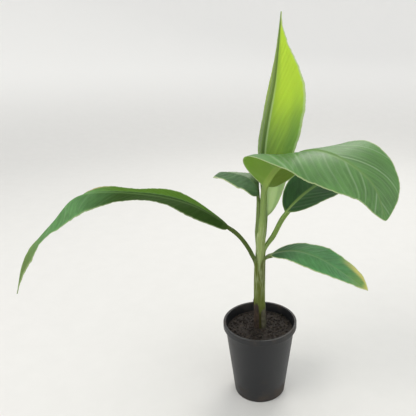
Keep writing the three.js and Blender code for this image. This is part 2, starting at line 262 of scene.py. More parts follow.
def along(stations, t):
    """Smooth curve through equally spaced stations, with t from 0 to 1.

    Each span is a cubic whose slope at a station is half the step between that station's
    neighbours, and both ends are carried on in a straight line. Stations are numbers or points.
    """
    p = np.asarray(stations, float)
    t = np.clip(np.asarray(t, float), 0, 1)
    if len(p) == 1:
        return np.broadcast_to(p[0], t.shape + p.shape[1:])
    p = np.concatenate([2 * p[:1] - p[1:2], p, 2 * p[-1:] - p[-2:-1]])
    x = t * (len(p) - 3)
    i = np.minimum(x.astype(int), len(p) - 4)
    f = (x - i).reshape(x.shape + (1,) * (p.ndim - 1))
    p0, p1, p2, p3 = (p[i + k] for k in range(4))
    curve = (2 * p0 - 5 * p1 + 4 * p2 - p3) * f**2 + (3 * p1 - p0 - 3 * p2 + p3) * f**3
    return 0.5 * (2 * p1 + (p2 - p0) * f + curve)


def wander(x, seed):
    """Gentle irregular wave between about -1 and 1: five sines of rising pitch, with seeded phases."""
    phases = np.random.default_rng(seed).uniform(0, 2 * pi, len(WAVE_PITCHES))
    waves = np.sin(np.asarray(x)[..., None] * WAVE_PITCHES + phases) / WAVE_PITCHES**0.6
    return waves.sum(axis=-1) / 2.5


def lumps(x, y, cell, seed):
    """Smooth bumps between 0 and 1: random heights on a square lattice, joined by smooth steps."""
    table = np.random.default_rng(seed).random((LATTICE, LATTICE))
    gx, gy = x / cell, y / cell
    ix, iy = np.floor(gx).astype(int), np.floor(gy).astype(int)
    fx, fy = smoothstep(gx - ix, 0, 1), smoothstep(gy - iy, 0, 1)
    corner = [[table[(ix + a) % LATTICE, (iy + b) % LATTICE] for b in (0, 1)] for a in (0, 1)]
    near = lerp(corner[0][0], corner[0][1], fy)
    far = lerp(corner[1][0], corner[1][1], fy)
    return lerp(near, far, fx)


def grid_faces(rows, columns, start=0, wrap=False):
    """Corner numbers of the squares of a grid of points, closed across the columns if wrap is set."""
    i = np.arange(rows - 1)[:, None] * columns
    j = np.arange(columns if wrap else columns - 1)[None, :]
    k = (j + 1) % columns
    squares = np.stack([i + j, i + k, i + k + columns, i + j + columns], axis=-1)
    return squares.reshape(-1, 4) + start


def turned(radius, angle, height, x=0.0, y=0.0):
    """Points at a radius and an angle round the upright line through x and y, each at its height."""
    places = (x + radius * np.cos(angle), y + radius * np.sin(angle), height)
    return np.stack(np.broadcast_arrays(*places), axis=-1)


def round_steps(sides):
    """Evenly spaced angles of a full turn."""
    return np.linspace(0, 2 * pi, sides, endpoint=False)


def fan(middle, ring):
    """Triangles from a middle point to each step of a closed ring of point numbers."""
    return np.stack([np.full(len(ring), middle), ring, np.roll(ring, -1)], axis=-1)


def tube(rings):
    """Points and faces of a closed tube through rings, with a fan over each end."""
    count, sides = rings.shape[:2]
    points = np.concatenate([rings.reshape(-1, 3), rings[:1].mean(axis=1), rings[-1:].mean(axis=1)])
    first = np.arange(sides)
    start_fan = fan(count * sides, first)[:, [0, 2, 1]]
    end_fan = fan(count * sides + 1, (count - 1) * sides + first)
    return points, [grid_faces(count, sides, wrap=True), start_fan, end_fan]


def shell(upper, lower):
    """Points and faces of a closed shell between two grids of equal size, with walls at its edges."""
    rows, columns = upper.shape[:2]
    points = np.concatenate([upper.reshape(-1, 3), lower.reshape(-1, 3)])
    below = rows * columns
    top = grid_faces(rows, columns)
    under = grid_faces(rows, columns, below)[:, ::-1]
    numbers = np.arange(below).reshape(rows, columns)
    edge = np.concatenate(
        [numbers[0, :-1], numbers[:-1, -1], numbers[-1, :0:-1], numbers[:0:-1, 0]]
    )
    following = np.roll(edge, -1)
    walls = np.stack([following, edge, edge + below, following + below], axis=-1)
    return points, [top, under, walls]


def signed_volume(points, faces):
    """Six times the volume that the faces enclose, negative where they point inwards."""
    total = 0.0
    for corners in faces:
        for k in range(1, corners.shape[1] - 1):
            a, b, c = (points[corners[:, n]] for n in (0, k, k + 1))
            total += np.einsum("ij,ij->", a, np.cross(b, c))
    return total


def outward(points, faces):
    """The faces of a closed mesh, turned where they look inwards."""
    return faces if signed_volume(points, faces) >= 0 else [corners[:, ::-1] for corners in faces]


def new_mesh(name, points, faces, smooth=True):
    """A mesh from an array of points and arrays of faces, each with its own number of corners."""
    mesh = bpy.data.meshes.new(name)
    mesh.vertices.add(len(points))
    mesh.vertices.foreach_set("co", points.astype(np.float32).ravel())
    sizes = np.concatenate([np.full(len(corners), corners.shape[1]) for corners in faces])
    numbers = np.concatenate([corners.ravel() for corners in faces])
    mesh.loops.add(len(numbers))
    mesh.loops.foreach_set("vertex_index", numbers.astype(np.int32))
    mesh.polygons.add(len(sizes))
    starts = np.concatenate([[0], np.cumsum(sizes)[:-1]])
    mesh.polygons.foreach_set("loop_start", starts.astype(np.int32))
    mesh.polygons.foreach_set("use_smooth", np.full(len(sizes), smooth))
    mesh.update(calc_edges=True)
    if mesh.validate():
        raise RuntimeError(f"{name} has faces that aren't sound")
    return mesh


def linked(name, data):
    """A new object in the scene, at the origin."""
    thing = bpy.data.objects.new(name, data)
    bpy.context.scene.collection.objects.link(thing)
    return thing


def new_piece(name, points, faces, slot, nodes, material, values=None):
    """Makes a closed mesh with its faces outwards, which rides on the plant and replaces its nodes.

    values are named numbers for each point, which the material reads.
    """
    if not np.isfinite(points).all():
        raise RuntimeError(f"{name} has a point that isn't a number")
    mesh = new_mesh(name, points, outward(points, faces))
    for key, numbers in (values or {}).items():
        attribute = mesh.attributes.new(key, "FLOAT", "POINT")
        attribute.data.foreach_set("value", np.ascontiguousarray(numbers, np.float32).ravel())
    mesh.materials.append(material)
    piece = linked(name, mesh)
    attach(piece, "root")
    if nodes:
        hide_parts(*nodes)
    return piece


# Values and nodes of the materials


class Wire:
    """A value in a material. Arithmetic on it adds Math nodes."""

    def __init__(self, shader, socket):
        self.shader = shader
        self.socket = socket

    def math(self, operation, *others):
        return self.shader.math(operation, self, *others)

    def __add__(self, other):
        return self.math("ADD", other)

    def __sub__(self, other):
        return self.math("SUBTRACT", other)

    def __mul__(self, other):
        return self.math("MULTIPLY", other)

    def __truediv__(self, other):
        return self.math("DIVIDE", other)

    def __rsub__(self, other):
        return self.shader.math("SUBTRACT", other, self)

    def __rtruediv__(self, other):
        return self.shader.math("DIVIDE", other, self)

    __radd__ = __add__
    __rmul__ = __mul__


class Shader:
    """The nodes of one material."""

    MIX_COLOUR = {"factor": 0, "a": 6, "b": 7, "result": 2}

    def __init__(self, name):
        self.material = bpy.data.materials.new(name)
        self.material.use_nodes = True
        self.material.node_tree.nodes.clear()
        self.place = self.add("ShaderNodeTexCoord", output="Object")

    def add(self, kind, settings=None, inputs=None, output=0):
        """Adds a node: its settings first, then the values or links of its sockets."""
        tree = self.material.node_tree
        node = tree.nodes.new(kind)
        for key, value in (settings or {}).items():
            setattr(node, key, value)
        pairs = inputs.items() if isinstance(inputs, dict) else enumerate(inputs or [])
        for key, value in pairs:
            if isinstance(value, Wire):
                tree.links.new(value.socket, node.inputs[key])
            else:
                node.inputs[key].default_value = value
        return Wire(self, node.outputs[output]) if node.outputs else None

    def math(self, operation, *values):
        return self.add("ShaderNodeMath", {"operation": operation}, values)

    def mix(self, factor, a, b):
        """Colour a where the factor is 0 and colour b where it is 1."""
        at = self.MIX_COLOUR
        inputs = {at["factor"]: factor, at["a"]: a, at["b"]: b}
        return self.add("ShaderNodeMix", {"data_type": "RGBA"}, inputs, at["result"])

    def attribute(self, name):
        return self.add("ShaderNodeAttribute", {"attribute_name": name}, output="Fac")

    def smooth(self, value, start, full):
        """Smooth rise from 0 at the start to 1 at full, whichever of the two is greater."""
        inputs = {"Value": value, "From Min": start, "From Max": full}
        return self.add("ShaderNodeMapRange", {"interpolation_type": "SMOOTHSTEP"}, inputs)

    def vector(self, x, y, z):
        return self.add("ShaderNodeCombineXYZ", None, [x, y, z])

    def noise(self, scale, detail, roughness, stretch=None, vector=None):
        """Noise from 0 to 1 at a vector, or at the point's place times the stretch."""
        place = vector or self.place
        if stretch:
            place = self.add("ShaderNodeVectorMath", {"operation": "MULTIPLY"}, [place, stretch])
        inputs = {"Vector": place, "Scale": scale, "Detail": detail, "Roughness": roughness}
        return self.add("ShaderNodeTexNoise", None, inputs)

    def height(self):
        """Height over the floor in metres."""
        return self.add("ShaderNodeSeparateXYZ", None, [self.place], output="Z")

    def bump(self, height, distance):
        """Normal of a relief whose height runs from 0 to 1 over the given distance."""
        return self.add("ShaderNodeBump", None, {"Height": height, "Distance": distance})

    def finish(self, colour, roughness, normal, **constants):
        """Ends the material in one shader. Constants are the shader's own sockets."""
        inputs = {"Base Color": colour, "Roughness": roughness, "Normal": normal}
        inputs.update({key.replace("_", " "): value for key, value in constants.items()})
        surface = self.add("ShaderNodeBsdfPrincipled", None, inputs)
        self.add("ShaderNodeOutputMaterial", None, {"Surface": surface})
        return self.material


# Sizes and colours that can be changed


def length_setting(name, default, description):
    return FloatProperty(
        name=name, description=description, default=default, unit="LENGTH", precision=5,
    )


def count_setting(name, default, least, description):
    return IntProperty(name=name, description=description, default=default, min=least)


def colour_setting(name, default, description):
    return FloatVectorProperty(
        name=name, description=description, default=default, subtype="COLOR", min=0, max=1,
    )


def group_setting(name, kind):
    description = f"Sizes and colours of the {name.lower()}"
    return PointerProperty(name=name, description=description, type=kind)


class PotSettings(bpy.types.PropertyGroup):
    base_radius: length_setting("Base radius", 28 * MM, "Radius of the pot's underside")
    top_radius: length_setting("Top radius", 38.4 * MM, "Radius of the wall at the height of the rim")
    rim_depth: length_setting("Rim depth", 6 * MM, "Height of the band round the rim")
    wall: length_setting("Wall", 1 * MM, "Thickness of the wall")
    floor: length_setting("Floor", 1.2 * MM, "Thickness of the pot's floor")
    edge: length_setting("Edge", 0.5 * MM, "Radius of the rounded edges")
    hole_radius: length_setting("Hole radius", 4 * MM, "Radius of a drain hole")
    hole_ring: length_setting("Hole ring", 19 * MM, "Distance of the drain holes from the middle")
    holes: count_setting("Holes", 4, 0, "Number of drain holes")
    sides: count_setting("Sides", 192, 12, "Steps round the pot")
    colour: colour_setting("Colour", (0.011, 0.012, 0.014), "Colour of the plastic")
    dust: colour_setting("Dust", (0.075, 0.055, 0.04), "Colour of the dust and soil on the plastic")


class SoilSettings(bpy.types.PropertyGroup):
    dish: length_setting("Dish", 1.6 * MM, "How much lower the soil is at the wall than at the stem")
    clearance: length_setting("Clearance", 0.3 * MM, "Gap between the soil and the pot")
    relief: length_setting("Relief", 1.3 * MM, "Height of the lumps on the soil's surface")
    sides: count_setting("Sides", 240, 12, "Steps round the soil")
    rings: count_setting("Rings", 90, 8, "Steps from the wall to the stem")
    crumbs: count_setting("Crumbs", 520, 0, "Number of loose crumbs")
    crumb_size: length_setting("Crumb size", 1.1 * MM, "Usual radius of a crumb")
    colour: colour_setting("Colour", (0.016, 0.0105, 0.0075), "Colour of the moist soil")
    dry: colour_setting("Dry colour", (0.055, 0.039, 0.027), "Colour of its drier lumps")


class StemSettings(bpy.types.PropertyGroup):
    sides: count_setting("Sides", 120, 12, "Steps round the stem")
    sections: count_setting("Sections", 150, 12, "Steps up the stem")
    sheath_step: length_setting("Sheath step", 0.45 * MM, "Height of the sheaths' edges on the core")
    sheaths: count_setting("Sheaths", 3, 1, "Edges round the stem's core")
    colour: colour_setting("Colour", (0.29, 0.38, 0.12), "Colour of the upper stem")
    pale: colour_setting("Pale streaks", (0.52, 0.6, 0.34), "Colour of the stem's light streaks")
    old: colour_setting("Old sheaths", (0.12, 0.15, 0.032), "Colour of the outermost sheaths")
    foot: colour_setting("Foot", (0.04, 0.036, 0.014), "Colour of the stem where it meets the soil")
    dry: colour_setting("Dry sheath", (0.034, 0.02, 0.012), "Colour of the dry sheath on the left")
    grey: colour_setting("Grey sheath", (0.075, 0.07, 0.042), "Colour of the dry sheath on the right")
    dry_height: length_setting("Dry height", 30 * MM, "Height of the dry sheaths over the soil")


class LeafSettings(bpy.types.PropertyGroup):
    section_step: length_setting("Section step", 0.75 * MM, "Distance between sections of a blade")
    half_steps: count_setting("Half steps", 24, 4, "Steps across half a blade")
    rib_steps: count_setting("Rib steps", 10, 2, "Steps across the rib")
    blade: length_setting("Blade", 0.45 * MM, "Thickness of a blade")
    stalk_edge: length_setting("Stalk edge", 0.9 * MM, "Thickness of a stalk's raised edges")
    pleat: length_setting("Pleat", 0.4 * MM, "How much a blade bulges between two veins")
    margin_wave: length_setting("Margin wave", 0.5 * MM, "How far the margins wander from their line")
    sheath: length_setting("Sheath", 0.8 * MM, "Thickness of a sheath")
    left_leaf: colour_setting("Left leaf", (0.107, 0.248, 0.09), "Upper side of the long left leaf")
    low_leaf: colour_setting("Low leaf", (0.07, 0.235, 0.075), "Upper side of the low leaf")
    back_right_leaf: colour_setting("Back right leaf", (0.022, 0.08, 0.022), "Upper side of that leaf")
    right_leaf: colour_setting("Right leaf", (0.085, 0.205, 0.05), "Upper side of the right leaf")
    upright_leaf: colour_setting("Upright leaf", (0.32, 0.5, 0.05), "The leaf that is still unrolling")
    back_left_leaf: colour_setting("Back left leaf", (0.062, 0.135, 0.052), "Upper side of that leaf")
    rib: colour_setting("Rib", (0.24, 0.36, 0.09), "Colour that the ribs lean to")
    # the broad pale stripes lean to this colour: partly real veins, partly painted highlight on the
    # pleats
    vein: colour_setting("Vein", (0.34, 0.46, 0.28), "Colour that the strongest veins lean to")
    stalk: colour_setting("Stalk", (0.15, 0.22, 0.06), "Colour of the stalks between stem and blade")
    margin: colour_setting("Margin", (0.5, 0.56, 0.32), "Colour of the thin pale margins")
    under: colour_setting("Underside", (0.2, 0.31, 0.085), "Colour that the undersides lean to")


class StageSettings(bpy.types.PropertyGroup):
    floor: colour_setting("Floor", (0.72, 0.715, 0.7), "Colour of the floor")
    wall: colour_setting("Wall", (0.94, 0.935, 0.92), "Colour of the floor's raised edge")
    light: FloatProperty(name="Light", description="Strength of all the lights", default=1.0, min=0)
    camera: FloatVectorProperty(
        name="Camera", description="Place of the camera", default=tuple(mm(-5, -450, 367)),
        unit="LENGTH",
    )
    pitch: FloatProperty(
        name="Pitch", description="How far the camera looks down", default=radians(17),
        unit="ROTATION",
    )
    lens: FloatProperty(
        name="Lens", description="Focal length for a sensor 36 mm wide, in millimetres",
        default=40.5, min=1,
    )
    shift: FloatVectorProperty(
        name="Shift", default=(-0.114, -0.034), size=2,
        description="How far right and up the frame's middle lies, in widths of the frame",
    )


class PlantSettings(bpy.types.PropertyGroup):
    pot: group_setting("Pot", PotSettings)
    soil: group_setting("Soil", SoilSettings)
    stem: group_setting("Stem", StemSettings)
    leaves: group_setting("Leaves", LeafSettings)
    stage: group_setting("Stage", StageSettings)


def rgba(colour, factor=1.0):
    """A colour with its alpha, made lighter or darker by the factor."""
    return (*(min(c * factor, 1.0) for c in colour), 1.0)


# Stage


FLOOR_MIDDLE = 0.05  # radius of the floor's innermost ring
FLOOR_RADIUS = 1.3
COVE_RADIUS = 1.0
FLOOR_SIDES = 96
FLOOR_RINGS = 16
COVE_RINGS = 24
WALL_HEIGHT = 0.3  # where the floor's raised edge has taken on the wall's colour
SENSOR_WIDTH = 36
LIGHTS = (
    # name, place, size, watts, colour
    ("key_light", (-0.9, -0.5, 1.35), 1.1, 10.0, (1.0, 0.97, 0.91)),
    ("fill_light", (1.2, -0.9, 0.7), 1.3, 3.0, (0.93, 0.97, 1.0)),
    ("back_light", (0.35, 1.0, 1.3), 0.9, 9.0, (1.0, 0.98, 0.92)),
)
LIGHT_AIM = Vector((-0.03, 0.0, 0.2))
SKY = (0.93, 0.94, 0.95)
SKY_STRENGTH = 0.75


def make_floor(settings):
    """A wide disc at the height of the pot's underside, whose edge bends up a quarter circle."""
    rise = np.linspace(0, pi / 2, COVE_RINGS)[1:]
    flat = np.linspace(FLOOR_MIDDLE, FLOOR_RADIUS, FLOOR_RINGS)
    radius = np.concatenate([flat, FLOOR_RADIUS + COVE_RADIUS * np.sin(rise)])[:, None]
    height = np.concatenate([0 * flat, COVE_RADIUS * (1 - np.cos(rise))])[:, None]
    rings = turned(radius, round_steps(FLOOR_SIDES), height)
    points = np.concatenate([rings.reshape(-1, 3), [[0, 0, 0]]])
    squares = grid_faces(len(radius), FLOOR_SIDES, wrap=True)[:, ::-1]
    mesh = new_mesh("floor", points, [fan(len(points) - 1, np.arange(FLOOR_SIDES)), squares])
    shader = Shader("floor_finish")
    grain = shader.noise(35, 3, 0.6)
    colour = shader.mix(grain, rgba(settings.floor, 0.97), rgba(settings.floor, 1.03))
    raised = shader.smooth(shader.height(), 0, WALL_HEIGHT)
    colour = shader.mix(raised, colour, rgba(settings.wall))
    mesh.materials.append(shader.finish(colour, 0.75 + 0.1 * grain, shader.bump(grain, 0.4 * MM)))
    linked("floor", mesh)


def make_lights(settings):
    """Three round lamps aimed at the plant, and an even pale sky."""
    for name, place, size, watts, colour in LIGHTS:
        lamp = bpy.data.lights.new(name, "AREA")
        lamp.shape = "DISK"
        lamp.size = size
        lamp.energy = watts * settings.light
        lamp.color = colour
        holder = linked(name, lamp)
        holder.location = place
        holder.rotation_mode = "QUATERNION"
        holder.rotation_quaternion = (LIGHT_AIM - Vector(place)).to_track_quat("-Z", "Y")
    world = bpy.data.worlds.new("studio")
    world.use_nodes = True
    sky = world.node_tree.nodes["Background"]
    sky.inputs["Color"].default_value = rgba(SKY)
    sky.inputs["Strength"].default_value = SKY_STRENGTH * settings.light
    bpy.context.scene.world = world
    bpy.context.scene.view_settings.view_transform = "Standard"


def make_camera(settings):
    """A camera that looks down by its pitch, whose frame is moved sideways by the lens shift."""
    camera = linked("camera", bpy.data.cameras.new("camera"))
    camera.data.lens = settings.lens
    camera.data.sensor_width = SENSOR_WIDTH
    camera.data.shift_x, camera.data.shift_y = settings.shift
    camera.location = settings.camera
    camera.rotation_euler = (pi / 2 - settings.pitch, 0, 0)
    bpy.context.scene.camera = camera


# Pot


CORNER_POINTS = 5
LONG_STRETCH = 10 * MM  # a straight stretch longer than this has more steps
LONG_STEPS = 10
SHORT_STEPS = 2
STOP_SHORT = 0.02  # share of a stretch at its far end that is left to the next corner
BORE_SIDES = 32


def pot_profile(settings):
    """Half of the pot's cross-section, from the middle of the underside out, up and back inside.

    Each corner has a radius, a height and an edge. It is rounded by the parabola that touches
    both lines an edge before and an edge after the corner.
    """
    wall, edge = settings.wall, settings.edge
    under = POT_HEIGHT - settings.rim_depth

    def outer(z):
        return lerp(settings.base_radius, settings.top_radius, z / POT_HEIGHT)

    corners = [
        (settings.base_radius, 0, edge),
        (outer(under), under, edge / 2),
        (RIM_RADIUS, under, edge),
        (RIM_RADIUS, POT_HEIGHT, edge),
        (outer(POT_HEIGHT) - wall, POT_HEIGHT, edge),
        (outer(settings.floor) - wall, settings.floor, edge),
    ]
    path = np.array([(0, 0)] + [corner[:2] for corner in corners] + [(0, settings.floor)], float)
    points = [path[0]]
    for k, (_, _, size) in enumerate(corners):
        here = path[k + 1]
        back = path[k] - here
        ahead = path[k + 2] - here
        before = here + back / np.linalg.norm(back) * size
        after = here + ahead / np.linalg.norm(ahead) * size
        t = np.linspace(0, 1, CORNER_POINTS)[:, None]
        points.extend((1 - t) ** 2 * before + 2 * t * (1 - t) * here + t**2 * after)
        if k + 1 < len(corners):
            far = path[k + 2] + (here - path[k + 2]) * STOP_SHORT
            steps = LONG_STEPS if np.linalg.norm(ahead) > LONG_STRETCH else SHORT_STEPS
            points.extend(lerp(after, far, u) for u in np.linspace(0, 1, steps + 1)[1:-1])
    points.append(path[-1])
    return np.array(points)


def make_pot(settings):
    """The pot: its profile turned round the axis, with round drain holes cut through the floor."""
    profile = pot_profile(settings)[1:-1]
    points, faces = tube(turned(profile[:, :1], round_steps(settings.sides), profile[:, 1:]))
    pot = new_piece("plant_pot", points, faces, "pot", ["pot"], pot_finish(settings))
    for k in range(settings.holes):
        turn = 2 * pi * (k + 0.5) / settings.holes
        bore(pot, settings.hole_ring * cos(turn), settings.hole_ring * sin(turn), settings)


def bore(piece, x, y, settings):
    """Cuts one upright round hole through the floor of a piece."""
    levels = np.array([[-settings.floor], [2 * settings.floor]])
    points, faces = tube(turned(settings.hole_radius, round_steps(BORE_SIDES), levels, x, y))
    cutter = linked("bore", new_mesh("bore", points, outward(points, faces), smooth=False))
    modifier = piece.modifiers.new("bore", "BOOLEAN")
    modifier.operation = "DIFFERENCE"
    modifier.solver = "EXACT"
    modifier.object = cutter
    bpy.context.view_layer.update()
    evaluated = piece.evaluated_get(bpy.context.evaluated_depsgraph_get())
    cut = bpy.data.meshes.new_from_object(evaluated)
    piece.modifiers.clear()
    piece.data = cut
    bpy.data.objects.remove(cutter)


def pot_finish(settings):
    """Black moulded plastic: faint streaks from the mould, scuffs, and dust at its foot and rim."""
    shader = Shader("pot_finish")
    z = shader.height()
    blotches = shader.noise(55, 4, 0.6)
    grains = shader.noise(1600, 2, 0.5)
    scuffs = shader.noise(60, 3, 0.7, stretch=(1, 1, 14))
    foot = shader.smooth(z, 26 * MM, 0)
    rim = shader.smooth(z, POT_HEIGHT - 9 * MM, POT_HEIGHT)
    dust = shader.smooth(blotches + 0.3 * grains + 0.25 * foot + 0.16 * rim, 0.72, 1.05)
    colour = shader.mix(0.6 * dust, rgba(settings.colour), rgba(settings.dust))
    colour = shader.mix(0.5 * shader.smooth(scuffs, 0.6, 0.8), colour, rgba(settings.colour, 2.6))
    roughness = 0.36 + 0.34 * dust + 0.12 * scuffs
    relief = 0.35 * grains + 0.35 * blotches + 0.3 * scuffs
    return shader.finish(colour, roughness, shader.bump(relief, 0.25 * MM), Specular_IOR_Level=0.45)


# Soil


SOIL_LUMPS = (
    # size of a lump, share of the relief, seed: clods, knobs and grit
    (7 * MM, 0.9, 3),
    (2.6 * MM, 0.7, 4),
    (1 * MM, 0.45, 5),
)
SOIL_SINK = 0.1 * MM  # how far the lumps' middle lies under the soil's level
MOUND_HEIGHT = 1.1 * MM
MOUND_TOP = 6 * MM  # the radius from which the mound round the stem falls
MOUND_FOOT = 13 * MM
SOIL_MIDDLE = 0.02  # the innermost ring, as a share of the soil's radius
WALL_RINGS = 12
CRUMB_SEED = 11
CRUMB_START = 8 * MM  # how far from the axis the crumbs begin
CRUMB_EDGE = 1.5 * MM  # how far they stay from the wall
CRUMB_LIMIT = 2.2  # the greatest crumb in usual sizes


def soil_height(x, y, settings):
    """Height of the soil's surface over its level: a mound at the stem, a dish, and its lumps."""
    distance = np.hypot(x, y)
    mound = MOUND_HEIGHT * (1 - smoothstep(distance, MOUND_TOP, MOUND_FOOT))
    relief = sum(share * (lumps(x, y, size, seed) - 0.5) for size, share, seed in SOIL_LUMPS)
    dish = settings.dish * np.clip(distance / SOIL_RADIUS, 0, 1) ** 2
    return mound - dish + settings.relief * relief - SOIL_SINK


def make_soil(settings, pot):
    """The filling of the pot: a lumpy dished surface over a wall and a flat underside."""
    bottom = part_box("soil")[0].z
    gap = pot.wall + settings.clearance
    bottom_radius = lerp(pot.base_radius, pot.top_radius, bottom / POT_HEIGHT) - gap
    angle = round_steps(settings.sides)
    out = SOIL_RADIUS * np.linspace(1, SOIL_MIDDLE, settings.rings)[:, None]
    x, y = out * np.cos(angle), out * np.sin(angle)
    surface = np.stack([x, y, SOIL_TOP + soil_height(x, y, settings)], axis=-1)
    up = np.linspace(0, 1, WALL_RINGS)[:-1, None]
    radius = lerp(bottom_radius, SOIL_RADIUS, up)
    wall = turned(radius, angle, lerp(bottom, SOIL_TOP - 2 * settings.dish, up))
    points, faces = tube(np.concatenate([wall, surface]))
    finish = soil_finish(settings)
    new_piece("potting_soil", points, faces, "soil", ["soil"], finish)
    make_crumbs(settings, finish)


def small_ball(rows=4, sides=6):
    """A coarse ball of radius 1 as rings and poles: a few dozen faces."""
    tilt = np.linspace(0, pi, rows + 1)[1:-1, None]
    points, faces = tube(turned(np.sin(tilt), round_steps(sides), np.cos(tilt)))
    points[-2:] = [[0, 0, 1], [0, 0, -1]]
    return points, faces


def make_crumbs(settings, finish):
    """Loose crumbs on the soil: small balls made uneven, squashed, turned and sunk by a third."""
    ball, faces = small_ball()
    rng = np.random.default_rng(CRUMB_SEED)
    count = settings.crumbs
    reach = SOIL_RADIUS - CRUMB_EDGE
    out = np.sqrt(rng.uniform((CRUMB_START / reach) ** 2, 1, count)) * reach
    angle = rng.uniform(0, 2 * pi, count)
    size = settings.crumb_size * rng.lognormal(-0.25, 0.42, count)
    size = np.minimum(size, CRUMB_LIMIT * settings.crumb_size)
    x, y = out * np.cos(angle), out * np.sin(angle)
    z = SOIL_TOP + soil_height(x, y, settings) + 0.3 * size
    uneven = rng.uniform(0.72, 1.2, (count, len(ball), 1))
    squash = rng.uniform(0.65, 1.15, (count, 1, 3))
    across, along_y, up = np.moveaxis(ball * uneven * squash * size[:, None, None], -1, 0)
    turn = rng.uniform(0, 2 * pi, count)[:, None]
    crumbs = np.stack(
        [
            np.cos(turn) * across - np.sin(turn) * along_y + x[:, None],
            np.sin(turn) * across + np.cos(turn) * along_y + y[:, None],
            up + z[:, None],
        ],
        axis=-1,
    )
    starts = (np.arange(count) * len(ball))[:, None, None]
    joined = [(part[None] + starts).reshape(-1, part.shape[1]) for part in faces]
    new_piece("soil_crumbs", crumbs.reshape(-1, 3), joined, "soil", [], finish)


def soil_finish(settings):
    """Moist dark potting mix with drier, paler clods and a few fibres."""
    shader = Shader("soil_finish")
    clods = shader.noise(260, 4, 0.65)
    grit = shader.noise(1500, 3, 0.6)
    fibres = shader.noise(420, 2, 0.5, stretch=(1, 0.12, 1))
    dry = shader.smooth(clods + 0.25 * grit, 0.6, 0.86)
    colour = shader.mix(dry, rgba(settings.colour), rgba(settings.dry))
    colour = shader.mix(0.6 * shader.smooth(fibres, 0.7, 0.78), colour, rgba(settings.dry, 1.8))
    roughness = 0.82 + 0.15 * dry
    return shader.finish(colour, roughness, shader.bump(0.6 * clods + 0.4 * grit, 0.7 * MM))


# Stem


STEM_BELOW = 3 * MM  # how far the core runs down into the soil
STEM_ABOVE = 2 * MM  # how far its rings run on over the stem's height
CROWN_START = 12 * MM  # the top is drawn in from this far under the stem's height
CROWN_END = 3 * MM  # to this far over it
CROWN_LEAST = 0.12  # the least share of its radius that is left
DRY_SHEATHS = (
    # name, first and last angle in degrees from +X, share of the dry height, colour
    ("dry_sheath", 118, 262, 1.0, "dry"),
    ("grey_sheath", 286, 372, 0.75, "grey"),
)
DRY_STEPS = (50, 90)  # up a dry sheath and round it
DRY_BELOW = 2 * MM
DRY_CLEARANCE = 0.42 * MM  # from the stem to the outer side of a dry sheath's side edges
DRY_BULGE = 0.22 * MM  # how much further out its middle lies
DRY_CURL = 0.5 * MM  # how far its upper edge curls out
DRY_CRINKLE = 0.1 * MM
DRY_THICKNESS = 0.28 * MM
DRY_ROUNDING = 0.35  # the angle over which its sides lie down, in radians
FIBRES = (1, 1, 0.05)  # stretches a pattern along the stem


def stem_middle(height):
    """Sideways place of the stem's axis: a slight lean and a bow of half a wave."""
    t = np.clip(height / STEM_HEIGHT, 0, 1)
    return STEM_LEAN * t - STEM_BOW * np.sin(pi * t)


def stem_radius(height):
    """Radius of the stem: wider at the foot, and narrower from below its middle to its top."""
    foot = 1 - smoothstep(height, 0, STEM_FOOT_HEIGHT)
    upper = smoothstep(np.clip(height / STEM_HEIGHT, 0, 1), STEM_TAPER_START, 1)
    radius = lerp(STEM_MID_RADIUS, STEM_TOP_RADIUS, upper)
    return radius + (STEM_FOOT_RADIUS - STEM_MID_RADIUS) * foot


def make_stem(settings):
    """The core of the stem, under the leaves' sheaths, and the dry sheaths at its foot.

    Each ring of the core is a circle with low edges that run up and round it, and the top is
    drawn in where the last leaf leaves it.
    """
    rings = np.linspace(0, STEM_HEIGHT + STEM_ABOVE, settings.sections)
    height = np.concatenate([[-STEM_BELOW], rings])[:, None]
    angle = round_steps(settings.sides)
    twisted = angle - radians(STEM_TWIST) * height / STEM_HEIGHT
    wrap = np.mod(twisted * settings.sheaths / (2 * pi), 1)
    edge = settings.sheath_step * wrap * smoothstep(1 - wrap, 0, 0.12)
    drawn_in = smoothstep(height, STEM_HEIGHT - CROWN_START, STEM_HEIGHT + CROWN_END)
    crown = np.maximum(np.sqrt(np.clip(1 - drawn_in, 0, 1)), CROWN_LEAST)
    radius = (stem_radius(height) - SHEATH_ROOM + edge) * crown
    points, faces = tube(turned(radius, angle, SOIL_TOP + height, stem_middle(height)))
    new_piece("stem_core", points, faces, "stem", ["pseudostem"], stem_finish(settings))
    for name, start, end, share, colour in DRY_SHEATHS:
        finish = dry_finish(name + "_finish", getattr(settings, colour))
        make_dry_sheath(name, start, end, share * settings.dry_height, finish)


def make_dry_sheath(name, start, end, top, finish):
    """A dead outer sheath at the foot: a thin curved sheet with a ragged upper edge.

    It covers the stem from the start angle to the end angle, in degrees from +X. Its random
    waves take their seeds from the start angle.
    """
    first, last = radians(start), radians(end)
    angle = np.linspace(first, last, DRY_STEPS[1])
    top = top * (1 + 0.16 * wander(angle * 3.1, start) + 0.06 * wander(angle * 19, start + 1))
    share = np.linspace(0, 1, DRY_STEPS[0])[:, None]
    height = lerp(-DRY_BELOW, top, share)
    rounded = smoothstep(angle, first, first + DRY_ROUNDING)
    rounded = rounded * (1 - smoothstep(angle, last - DRY_ROUNDING, last))
    curl = DRY_CURL * smoothstep(share, 0.8, 1) * (0.5 + 0.5 * wander(angle * 5, start + 2))
    crinkle = DRY_CRINKLE * wander(angle * 22, start + 3)
    outer = stem_radius(height) + DRY_CLEARANCE + DRY_BULGE * rounded + curl + crinkle
    sheets = [
        turned(radius, angle, SOIL_TOP + height, stem_middle(height))
        for radius in (outer, outer - DRY_THICKNESS)
    ]
    points, faces = shell(*sheets)
    new_piece(name, points, faces, "stem", [], finish)


